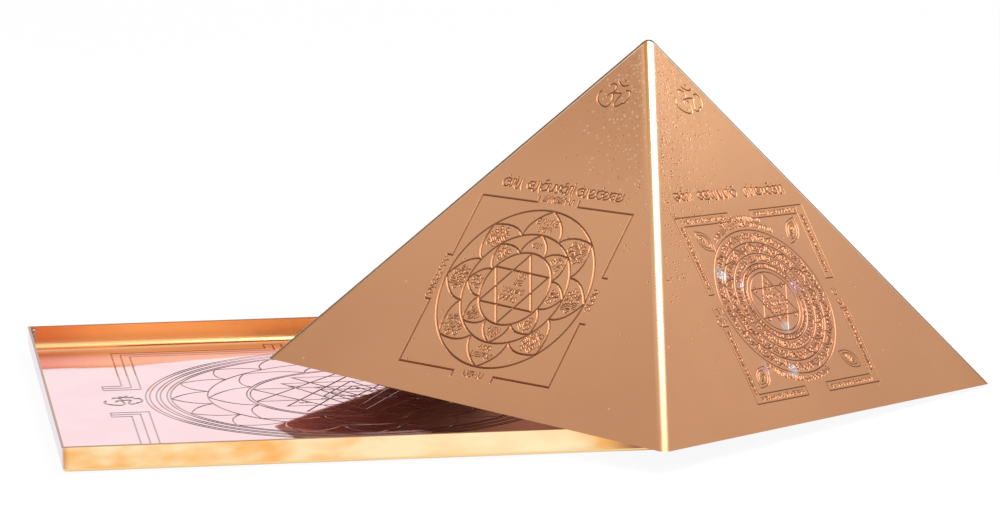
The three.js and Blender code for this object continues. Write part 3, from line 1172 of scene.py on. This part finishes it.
def near_spots(sheet, place, spots, wobble):
    """1 close to any of the spots: (place, reach). wobble makes their edges uneven."""
    mask = None
    for spot, reach in spots:
        away = sheet.vector("DISTANCE", place, spot, "Value") + wobble
        patch = away.ramp(reach, reach * spot_core)
        mask = patch if mask is None else mask.most(patch)
    return mask


def cover_copper(colours, apex, ridge_foot, wheel_out, wheels, grey_spots, lilac_spots):
    """Satin copper: painted highlight on the bends, painted shade at the front bend's lotus side and inside,
    darker lines, grains near the point, and a few stains.
    """
    material, sheet = new_material("cover_copper")
    place = millimetres(sheet)
    groove, bend, inside = (attribute(sheet, name) for name in ("groove", "bend", "inside"))
    broad = sheet.noise(place, 0.035)
    fine = sheet.noise(place, 1.3, 4.0, 0.6)
    from_apex = sheet.vector("DISTANCE", place, apex, "Value")
    away = sheet.vector("SUBTRACT", place, apex)
    paleness = from_apex.ramp(*cover_paling) * 0.75 + broad.ramp(0.3, 0.7) * 0.25
    on_wheel = sheet.vector("DOT_PRODUCT", away, wheel_out, "Value").ramp(-2.6, -1.2)
    near_apex = from_apex.ramp(*cover_point)
    ridge_way = (ridge_foot - apex).normalized()
    from_ridge = sheet.vector("LENGTH", sheet.vector("CROSS_PRODUCT", away, ridge_way), None, "Value")
    pink = near_spots(sheet, place, [(wheel, wheel_blush) for wheel in wheels], 0.0)
    crowd = from_apex.ramp(*grain_fall) * from_ridge.ramp(*grain_spread) * (1 - bend)
    grains = specks(sheet, place, 1.5, 0.5, crowd * 0.5)
    bright = specks(sheet, sheet.vector("ADD", place, (3.1, 7.7, 1.9)), 1.5, 0.5, crowd * 0.5)
    strays = specks(sheet, place, 0.5, 0.17, 0.04) * (1 - bend)
    across = sheet.node("ShaderNodeSeparateXYZ", None, [place])
    # The inside goes from dull copper to near black across the piece: a painted shade of the hollow
    inner = sheet.mix(across.ramp(*inside_painted_shade), colours.cover_inside, colours.cover_inside_painted_shade)
    patchy = sheet.noise(place, 1.1, 3.0, 0.6).ramp(0.42, 0.6)
    wobble = fine * 2.0 - 1.0
    grey = near_spots(sheet, place, grey_spots, wobble)
    lilac = near_spots(sheet, place, lilac_spots, wobble)
    colour = sheet.layers(
        sheet.mix(paleness, colours.cover_dark, colours.cover_light),
        (on_wheel * near_apex * 0.5, colours.cover_upper),
        ((1 - on_wheel) * near_apex * 0.7, colours.cover_dark),
        (pink * 0.55, colours.cover_pink),
        (grains * 0.3, colours.cover_pit),
        (bright.most(strays) * 0.5, colours.cover_ridge_highlight_and_specks),
        # The bends take a pale colour: a painted highlight along the ridges
        (bend, colours.cover_ridge_highlight_and_specks),
        # Orange-brown where the front bend turns to the lotus face: a painted shade beside the painted
        # highlight
        (attribute(sheet, "bend_shade"), colours.cover_bend_shade),
        (groove.ramp(0.01, 0.07) * 0.78, colours.cover_groove),
        (inside, inner),
        (grey * (0.3 + 0.5 * patchy), colours.cover_stain),
        (lilac * patchy * 0.6, colours.cover_lilac))
    roughness = 0.27 + 0.06 * broad + 0.05 * fine + 0.1 * grey - 0.2 * bend + inside * 0.2
    waves, grain = sheet.noise(place, 0.1, 2.0, 0.4), sheet.noise(place, 6.0, 3.0, 0.6)
    height = waves * 0.25 + grain * 0.004 + (bright - grains) * 0.012
    metal(sheet, colour, roughness, height, 1 - inside * 0.6)
    return material


def tray_copper(colours, half):
    """Bright copper of the tray: a pale polished floor, and warmer walls with heat colours and a painted
    highlight on the bend at their foot inside.
    """
    material, sheet = new_material("tray_copper")
    place = millimetres(sheet)
    across = sheet.node("ShaderNodeSeparateXYZ", None, [place])
    along, height = across.other("Y"), across.other("Z")
    side = across.bare().most(along.bare())
    broad = sheet.noise(place, 0.06)
    streaks = sheet.noise(sheet.vector("MULTIPLY", place, wall_streaks), 1.0)
    underside = height.ramp(*underside_height)
    wall, outside = (side.ramp(*(half - reach for reach in reaches)).most(underside)
                     for reaches in (wall_reach, outer_reach))
    at_left, left, dark = (across.ramp(*(reach - half for reach in reaches))
                           for reaches in (left_brown, left_face, left_dark))
    brown = across.ramp(*right_brown).most(at_left * 0.4).most(height.ramp(*brown_height) * 0.35)
    outer = sheet.layers(
        sheet.mix(streaks.ramp(0.35, 0.62), colours.tray_wall, colours.tray_wall_pale),
        (across.ramp(*palest_start) * across.ramp(*palest_end) * 0.7, colours.tray_wall_palest),
        (brown, colours.tray_heat),
        (left, colours.tray_side))
    inner = sheet.layers(sheet.mix(dark, colours.tray_inside, colours.tray_inside_dark),
                         # The bend at the walls' foot inside turns pale yellow: a painted highlight
                         (height.ramp(*bend_highlight_height), colours.tray_bend_highlight))
    colour = sheet.layers(
        sheet.mix(broad.ramp(0.35, 0.65), colours.tray_floor, colours.tray_floor_pale),
        (along.ramp(*shade_reach) * 0.8, colours.tray_shade),
        (wall, sheet.mix(outside, inner, outer)),
        (height.ramp(*tray_rim_height), colours.tray_rim),
        (attribute(sheet, "groove").ramp(0.0, 0.04) * 0.8, colours.tray_groove))
    haze = along.ramp(*haze_start) * along.ramp(*haze_end) * (1 - wall)
    rise = (along + half) * across.ramp(*floor_lean) * floor_rise * (1 - wall)
    waves, grain = sheet.noise(place, 0.06, 2.0), sheet.noise(place, 3.0, 2.0)
    metal(sheet, colour, 0.04 + 0.03 * broad + 0.14 * wall, waves * 0.07 + grain * 0.0005 + rise,
          1 - haze * 0.4)
    return material


def solder_grey(colours):
    """Dull solder, darker and lighter in broad random patches."""
    material, sheet = new_material("solder")
    place = millimetres(sheet)
    broad, fine = sheet.noise(place, 1.1, 4.0, 0.6), sheet.noise(place, 6.0, 3.0, 0.6)
    colour = sheet.mix(broad.ramp(0.35, 0.65), colours.solder_dark, colours.solder_light)
    metal(sheet, colour, 0.32 + 0.2 * fine, fine * 0.03)
    return material


def stage_white(name):
    """White floor that keeps the soft shadow of the pieces."""
    material, sheet = new_material(name)
    rays = sheet.node("ShaderNodeLightPath", None, None, "Is Camera Ray")
    seen = rays.most(rays.other("Is Glossy Ray")).most(rays.other("Is Transmission Ray"))
    tone = sheet.noise(millimetres(sheet), 0.002, 2.0).ramp(0.0, 1.0, 0.985, 1.0)
    lit = sheet.node("ShaderNodeBsdfDiffuse", None,
                     {"Color": sheet.mix(tone, (0.9, 0.9, 0.9), (0.96, 0.96, 0.96))})
    glow = sheet.node("ShaderNodeEmission", None, {"Color": white, "Strength": 1.0})
    mixed = sheet.node("ShaderNodeMixShader", None, [seen * floor_glow, lit, glow])
    sheet.node("ShaderNodeOutputMaterial", None, {"Surface": mixed})
    return material


# Sizes and colours that a user would change

def colour_setting(name, description, default):
    return bpy.props.FloatVectorProperty(name=name, description=description, subtype="COLOR",
                                         size=3, min=0.0, max=1.0, default=default)


def length_setting(name, description, default):
    return bpy.props.FloatProperty(name=name, description=description, subtype="DISTANCE",
                                   unit="LENGTH", min=0.0, precision=5, default=default)


class PyramidLines(bpy.types.PropertyGroup):
    """Sizes of the engraved lines."""
    line_width: length_setting("Line width", "Width of a pattern's lines", 0.00050)
    line_depth: length_setting("Line depth", "Depth of a pattern's lines", 0.00018)
    mark_width: length_setting("Mark width", "Width of the small marks' lines", 0.00029)
    mark_depth: length_setting("Mark depth", "Depth of the small marks' lines", 0.00010)
    title_width: length_setting("Title width", "Width of the large marks' lines", 0.00042)
    title_depth: length_setting("Title depth", "Depth of the large marks' lines", 0.00014)
    seed: bpy.props.IntProperty(name="Seed", description="Picks the ornament marks", default=11)
    lump: length_setting("Solder lumps", "Height of the lumps on the solder", 0.00025)


class PyramidColours(bpy.types.PropertyGroup):
    """Colours of the metals."""
    cover_light: colour_setting("Cover, light", "Cover's copper where it is palest", (0.62, 0.315, 0.165))
    cover_dark: colour_setting("Cover, dark", "Cover's copper where it is deepest", (0.5, 0.24, 0.12))
    cover_pink: colour_setting("Cover, wheel", "Copper round the wheels", (0.52, 0.24, 0.145))
    # Pale specks, and the bends, where this pale colour is a painted highlight
    cover_ridge_highlight_and_specks: colour_setting("Cover, ridges", "Painted highlight on the bends, and pale specks", (0.84, 0.6, 0.42))
    # Orange-brown of the front bend's edge: a painted shade
    cover_bend_shade: colour_setting("Cover, edge", "Painted shade along the front bend", (0.55, 0.24, 0.055))
    cover_upper: colour_setting("Cover, upper wheel face", "Paler copper by the point", (0.84, 0.45, 0.24))
    cover_pit: colour_setting("Cover, grains", "Copper of the dark grains", (0.3, 0.13, 0.06))
    cover_groove: colour_setting("Cover, grooves", "Copper at the bottom of the lines", (0.14, 0.04, 0.015))
    cover_inside: colour_setting("Cover, inside", "Dull copper inside the cover", (0.9, 0.48, 0.33))
    # Near black of the inside: a painted shade
    cover_inside_painted_shade: colour_setting("Cover, dark inside", "Painted shade inside it", (0.08, 0.04, 0.03))
    cover_stain: colour_setting("Cover, stains", "Grey stains on the wheel", (0.52, 0.5, 0.5))
    cover_lilac: colour_setting("Cover, lilac", "Lilac stains on the wheel", (0.7, 0.42, 0.55))
    tray_floor: colour_setting("Tray floor", "Polished floor of the tray", (0.98, 0.62, 0.66))
    tray_floor_pale: colour_setting("Tray floor, pale", "Floor where it is palest", (0.99, 0.67, 0.7))
    tray_groove: colour_setting("Tray, grooves", "Copper at the bottom of its lines", (0.2, 0.09, 0.07))
    tray_wall: colour_setting("Tray wall", "Outside of the walls", (0.98, 0.48, 0.14))
    tray_wall_pale: colour_setting("Tray wall, pale", "Paler streaks outside", (0.99, 0.78, 0.46))
    tray_side: colour_setting("Tray, left wall", "Outside of the left wall", (0.77, 0.66, 0.76))
    tray_inside: colour_setting("Tray, inside", "Inside of the walls", (1.0, 0.44, 0.12))
    tray_wall_palest: colour_setting("Tray, palest wall", "Palest part of the front wall", (1.0, 0.84, 0.52))
    tray_heat: colour_setting("Tray, heat", "Brown at the corners and lower edge", (0.36, 0.12, 0.05))
    tray_rim: colour_setting("Tray, rim", "Cut edge of the sheet", (0.4, 0.18, 0.1))
    tray_shade: colour_setting("Tray, by the back wall", "Shaded floor by the wall", (0.6, 0.38, 0.5))
    tray_inside_dark: colour_setting("Tray, inside, dark", "Its darker end", (0.75, 0.22, 0.06))
    # Pale yellow of the bend: a painted highlight
    tray_bend_highlight: colour_setting("Tray, bend", "Painted highlight on the bend at the foot of the walls", (0.99, 0.66, 0.3))
    solder_light: colour_setting("Solder, light", "Solder where it is bright", (0.55, 0.53, 0.5))
    solder_dark: colour_setting("Solder, dark", "Solder in its hollows", (0.3, 0.28, 0.26))


class PyramidStage(bpy.types.PropertyGroup):
    """Light and camera."""
    room: bpy.props.FloatProperty(name="Room light", description="Strength of the white room",
                                  min=0.0, default=1.0)
    dark_share: bpy.props.FloatProperty(name="Dark part", min=0.0, max=1.0, default=0.08,
                                        description="Strength of the room's dark parts behind")
    lamp_power: bpy.props.FloatProperty(name="Lamp", description="Power of the large soft lamp",
                                        subtype="POWER", unit="POWER", min=0.0, default=1.4)
    floor_side: length_setting("Floor", "Side of the white floor", 6.0)


def engraver(lines, finish, seed):
    sizes = [(width / MM, depth / MM) for width, depth in
             ((lines.line_width, lines.line_depth), (lines.mark_width, lines.mark_depth),
              (lines.title_width, lines.title_depth))]
    return Engraver(*sizes, finish, seed)


def cover_faces(sheet):
    """The four outer faces with their axes, and the point where their planes meet."""
    groups = [group for group in plane_groups(sheet)
              if group[0].z > slope_least and group[2] > outer_face_area]
    groups = sorted(groups, key=lambda group: -group[2])[:4]
    if len(groups) < 4:
        raise RuntimeError("The cover's four outer faces were not found")
    normals = np.array([tuple(group[0]) for group in groups])
    heights = np.array([group[1] for group in groups])
    apex = Vector(np.linalg.lstsq(normals, heights, rcond=None)[0])
    up = Vector(normals.sum(axis=0)).normalized()
    foot = min(vertex.co.dot(up) for vertex in sheet.verts) / MM
    faces = []
    for normal, _, _, region in groups:
        across = up.cross(normal).normalized()
        slope = normal.cross(across)
        origin = apex - slope * ((apex.dot(up) - foot) / slope.dot(up))
        faces.append((FlatFrame(origin, across, slope, normal), region))
    return faces, apex


def flat_regions(sheet):
    """The faces that lie in the sheet's large flat parts."""
    return {face for group in plane_groups(sheet) if group[2] > flat_area for face in group[3]}


def close_corners(sheet):
    """Brings the ends of the front and back walls up to the side walls."""
    half = max(vertex.co.x for vertex in sheet.verts) / MM
    for vertex in sheet.verts:
        x, y, z = vertex.co / MM
        at_end = abs(abs(x) - (half - tray_wall_end)) < plane_tolerance
        if at_end and abs(y) > half - tray_bend_reach and z > 0.01:
            vertex.co.x = math.copysign(half - tray_wall_end + tray_joint, x) * MM


class PYRAMID_OT_cover(bpy.types.Operator):
    """Engrave the folded cover and give it its satin copper"""
    bl_idname = "pyramid.dress_cover"
    bl_label = "Cover"

    def execute(self, context):
        lines = context.scene.pyramid_lines
        sheet = merged_copy("cover_sheet")
        flat = flat_regions(sheet)
        faces, apex = cover_faces(sheet)
        front_foot = min((vertex.co for vertex in sheet.verts), key=lambda place: place.y) / MM
        wheel = next(axes for axes, _ in faces if axes.out.x > 0 and axes.out.y < 0)
        spots = [(wheel.place(u, v, 0.0) / MM, reach, lilac) for u, v, reach, lilac in wheel_stains]
        grey_spots = [(place, reach) for place, reach, lilac in spots if not lilac]
        lilac_spots = [(place, reach) for place, reach, lilac in spots if lilac]
        wheels = [axes.place(*wheel_middle, 0.0) / MM for axes, _ in faces
                  if axes.out.x * axes.out.y < 0]
        finish = cover_copper(context.scene.pyramid_colours, apex, front_foot, wheel.out, wheels,
                              grey_spots, lilac_spots)
        for number, (axes, region) in enumerate(faces):
            lotus = axes.out.x * axes.out.y > 0
            tool = engraver(lines, finish, lines.seed + 20 * number)
            (lotus_pattern if lotus else wheel_pattern)(tool)
            flat.difference_update(region)
            flat.update(engrave(sheet, region, axes, tool.strokes))
            tool.clear()
        shade_sheet(sheet, flat)
        mark_inside(sheet, apex * MM)
        lotus_out = next(axes.out for axes, _ in faces if axes.out.x < 0 and axes.out.y < 0)
        mark_bend_shade(sheet, lotus_out, wheel.out)
        placed_piece("cover", plain_mesh("cover", sheet), finish, "cover",
                     "cover_sheet")
        return {"FINISHED"}


class PYRAMID_OT_tray(bpy.types.Operator):
    """Engrave the tray's floor and give the tray its bright copper"""
    bl_idname = "pyramid.dress_tray"
    bl_label = "Tray"

    def execute(self, context):
        lines = context.scene.pyramid_lines
        sheet = merged_copy("tray_pan")
        close_corners(sheet)
        flat = flat_regions(sheet)
        groups = [group for group in plane_groups(sheet) if group[0].z > floor_flatness]
        normal, height, _, region = max(groups, key=lambda group: group[2])
        axes = FlatFrame(Vector((0, 0, height)), Vector((1, 0, 0)), Vector((0, 1, 0)), normal)
        half = max(vertex.co.x for vertex in sheet.verts) / MM
        finish = tray_copper(context.scene.pyramid_colours, half)
        tool = engraver(lines, finish, lines.seed + 100)
        tray_pattern(tool)
        flat.difference_update(region)
        flat.update(engrave(sheet, region, axes, tool.strokes))
        tool.clear()
        shade_sheet(sheet, flat)
        placed_piece("tray", plain_mesh("tray", sheet), finish, "tray", "tray_pan")
        return {"FINISHED"}


class PYRAMID_OT_solder(bpy.types.Operator):
    """Make the solder runs lumpy and give them their dull grey"""
    bl_idname = "pyramid.dress_solder"
    bl_label = "Solder"

    def execute(self, context):
        finish = solder_grey(context.scene.pyramid_colours)
        tree = bead_tree()
        beads = [("cover_seam_solder", "cover")]
        beads += [("tray_corner_solder_%d" % corner, "tray") for corner in (1, 2, 3, 4)]
        for number, (node, body) in enumerate(beads):
            bead = merged_copy(node)
            bmesh.ops.triangulate(bead, faces=bead.faces)
            values = {"Lump": context.scene.pyramid_lines.lump, "Seed": bead_step * number,
                      "Finish": finish}
            grown = grown_mesh("bead", plain_mesh(node, bead), tree, values)
            name = "solder_%d" % number if number else "solder_seam"
            placed_piece(name, grown, finish, body, node)
        return {"FINISHED"}


class PYRAMID_OT_stage(bpy.types.Operator):
    """Set the white floor, the room, the soft lamp and the camera"""
    bl_idname = "pyramid.set_stage"
    bl_label = "Stage"

    def execute(self, context):
        stage = context.scene.pyramid_stage
        self.add_floor(stage)
        self.add_room(context, stage)
        self.add_lamp(stage)
        self.add_camera(context)
        context.scene.view_settings.view_transform = "Standard"
        return {"FINISHED"}

    def add_floor(self, stage):
        half = stage.floor_side / 2
        mesh = bpy.data.meshes.new("floor")
        corners = ((-half, -half), (half, -half), (half, half), (-half, half))
        mesh.from_pydata([(x, y, floor_level * MM) for x, y in corners], [], [(0, 1, 2, 3)])
        mesh.materials.append(stage_white("floor_white"))
        linked_object("floor", mesh)

    def add_room(self, context, stage):
        """White all round, with soft dark parts at the back that the copper reflects."""
        world = bpy.data.worlds.new("white_room")
        world.use_nodes = True
        world.node_tree.nodes.clear()
        sheet = NodeSheet(world.node_tree)
        way = sheet.node("ShaderNodeTexCoord", None, None, "Generated")
        across = sheet.node("ShaderNodeSeparateXYZ", None, [way])
        aside, along, height = across.bare(), across.other("Y"), across.other("Z")
        low = aside.ramp(*room_aside_end).most(height.ramp(*room_low))
        dark = along.ramp(*room_back) * height.ramp(*room_high).most(aside.ramp(*room_aside_start) * low)
        seen = sheet.node("ShaderNodeLightPath", None, None, "Is Camera Ray")
        strength = 1 - dark * (1 - stage.dark_share)
        strength = stage.room * (seen + (1 - seen) * strength)
        room = sheet.node("ShaderNodeBackground", None, {"Color": white, "Strength": strength})
        sheet.node("ShaderNodeOutputWorld", None, {"Surface": room})
        context.scene.world = world

    def add_lamp(self, stage):
        lamp = bpy.data.lights.new("soft_lamp", "AREA")
        lamp.shape = "RECTANGLE"
        lamp.size, lamp.size_y = lamp_size
        lamp.energy = stage.lamp_power
        holder = linked_object("soft_lamp", lamp)
        holder.location = lamp_place
        holder.visible_camera = False

    def add_camera(self, context):
        level = math.cos(camera_pitch)
        ahead = Vector((math.sin(camera_yaw) * level, math.cos(camera_yaw) * level,
                        -math.sin(camera_pitch)))
        right = Vector((math.cos(camera_yaw), -math.sin(camera_yaw), 0.0))
        up = right.cross(ahead)
        across = right * math.cos(camera_roll) + up * math.sin(camera_roll)
        upward = up * math.cos(camera_roll) - right * math.sin(camera_roll)
        camera = bpy.data.cameras.new("camera")
        camera.sensor_width = camera_sensor
        camera.lens = camera_lens
        camera.clip_start, camera.clip_end = 0.1, 20.0
        holder = linked_object("camera", camera)
        turn = Matrix((across, upward, -ahead)).transposed().to_4x4()
        holder.matrix_world = Matrix.Translation(Vector(camera_place) * MM) @ turn
        context.scene.camera = holder


class VIEW3D_PT_pyramid(bpy.types.Panel):
    """The pyramid's pieces, sizes and colours"""
    bl_label = "Vastu pyramid"
    bl_space_type = "VIEW_3D"
    bl_region_type = "UI"
    bl_category = "Pyramid"

    def draw(self, context):
        layout = self.layout
        for operator in operators:
            layout.operator(operator.bl_idname)
        for group in (context.scene.pyramid_lines, context.scene.pyramid_colours,
                      context.scene.pyramid_stage):
            box = layout.box()
            for name in group.__annotations__:
                box.prop(group, name)


operators = (PYRAMID_OT_cover, PYRAMID_OT_tray, PYRAMID_OT_solder, PYRAMID_OT_stage)
groups_of_settings = (("pyramid_lines", PyramidLines), ("pyramid_colours", PyramidColours),
                      ("pyramid_stage", PyramidStage))


def register():
    for name, group in groups_of_settings:
        bpy.utils.register_class(group)
        setattr(bpy.types.Scene, name, bpy.props.PointerProperty(type=group))
    for kind in (*operators, VIEW3D_PT_pyramid):
        bpy.utils.register_class(kind)


def unregister():
    for kind in reversed((*operators, VIEW3D_PT_pyramid)):
        bpy.utils.unregister_class(kind)
    for name, group in reversed(groups_of_settings):
        delattr(bpy.types.Scene, name)
        bpy.utils.unregister_class(group)


def main():
    register()
    bpy.ops.pyramid.dress_cover()
    bpy.ops.pyramid.dress_tray()
    bpy.ops.pyramid.dress_solder()
    bpy.ops.pyramid.set_stage()


if __name__ == "__main__":
    main()
